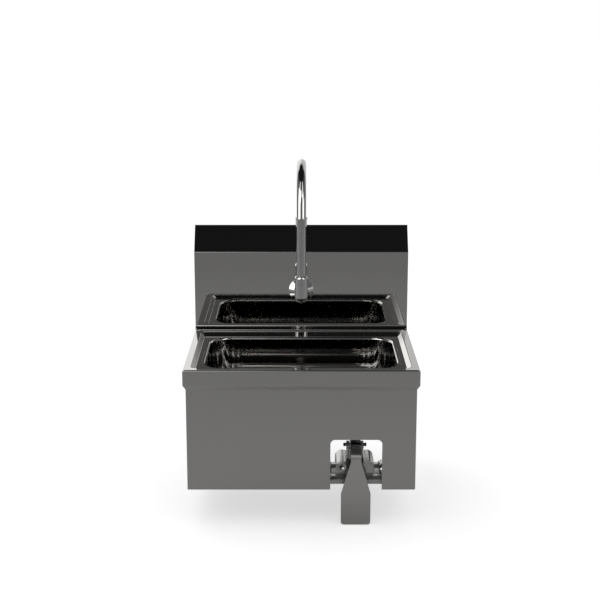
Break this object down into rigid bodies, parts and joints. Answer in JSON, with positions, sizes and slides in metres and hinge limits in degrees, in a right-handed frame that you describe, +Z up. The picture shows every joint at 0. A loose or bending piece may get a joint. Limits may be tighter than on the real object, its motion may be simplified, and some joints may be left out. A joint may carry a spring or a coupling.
{
  "type": "wall-hung hand wash sink",
  "caption": "Wall-hung stainless hand wash sink with a tall splash, a front skirt, a swivel gooseneck spout and a knee lever that opens a mixing valve.",
  "frame": {"origin": "on the wall's face, at the middle of the screw line of the wall bracket, 185 mm above the rim", "axes": "+X along the wall, to the right as seen from the front; +Y into the wall; +Z up"},
  "size_m": [0.4572, 0.371, 0.696],
  "materials": {
    "polished_steel": "bright polished stainless sheet",
    "bracket_steel": "plain stainless strip",
    "lever_steel": "fine brushed stainless plate",
    "screw_steel": "turned steel",
    "spring_steel": "drawn spring wire",
    "chrome_plate": "polished chrome plate",
    "cast_chrome": "plated casting, slightly satin",
    "plain_brass": "machined",
    "copper_tube": null,
    "white_plastic": "moulded",
    "black_rubber": "moulded"
  },
  "bodies": {
    "sink": {"deck": "polished_steel", "bowl": "polished_steel", "splash": "polished_steel", "splash_end_left": "polished_steel", "splash_end_right": "polished_steel", "skirt": "polished_steel", "wall_bracket": "bracket_steel", "valve_bracket": "bracket_steel", "escutcheon": "chrome_plate", "faucet_body": "chrome_plate", "faucet_shank": "chrome_plate", "shank_washer": "black_rubber", "shank_locknut": "plain_brass", "swivel_nut": "chrome_plate", "spout_glide_ring": "white_plastic", "spout_o_ring": "black_rubber", "shank_elbow": "plain_brass", "mixed_water_tube": "copper_tube", "tube_nuts": "plain_brass", "drain_flange": "polished_steel", "strainer": "polished_steel", "drain_gasket": "black_rubber", "drain_washer": "white_plastic", "drain_locknut": "plain_brass", "tailpiece": "chrome_plate", "tailpiece_washer": "white_plastic", "tailpiece_nut": "chrome_plate", "valve_body": "cast_chrome", "hot_end_cap": "cast_chrome", "cold_end_cap": "cast_chrome", "hot_bonnet": "plain_brass", "cold_bonnet": "plain_brass", "valve_screws": "screw_steel", "pivot_yoke": "bracket_steel", "yoke_screws": "screw_steel", "pivot_pin": "screw_steel", "pin_clips": "screw_steel", "hot_union_nut": "cast_chrome", "cold_union_nut": "cast_chrome", "hot_inlet_elbow": "cast_chrome", "cold_inlet_elbow": "cast_chrome", "hot_spring": "spring_steel", "cold_spring": "spring_steel"},
    "knee_lever": {"knee_lever": "lever_steel", "lever_bushes": "white_plastic"},
    "spout": {"gooseneck": "chrome_plate", "aerator_housing": "chrome_plate", "aerator_insert": "white_plastic"},
    "hot_plunger": {"hot_plunger": "screw_steel"},
    "cold_plunger": {"cold_plunger": "screw_steel"}
  },
  "joints": [
    {"name": "lever_pivot", "type": "hinge", "parent": "sink", "child": "knee_lever", "pos_m": [0.1065, -0.3088, -0.3559], "axis": [1, 0, 0], "range_deg": [0, 14], "stiffness_Nm_per_rad": 1.1, "springref_deg": -28.65},
    {"name": "spout_swivel", "type": "hinge", "parent": "sink", "child": "spout", "pos_m": [0, -0.1073, -0.06], "axis": [0, 0, 1], "range_deg": [-90, 90]},
    {"name": "hot_stroke", "type": "slide", "parent": "sink", "child": "hot_plunger", "axis": [0, 0, -1], "range_m": [0, 0.0036], "deforming": ["hot_spring"]},
    {"name": "cold_stroke", "type": "slide", "parent": "sink", "child": "cold_plunger", "axis": [0, 0, -1], "range_m": [0, 0.0036], "deforming": ["cold_spring"]}
  ],
  "couplings": [
    {"joint": "hot_stroke", "follows": "lever_pivot", "m_per_rad": 0.0135},
    {"joint": "cold_stroke", "follows": "lever_pivot", "m_per_rad": 0.0135}
  ]
}
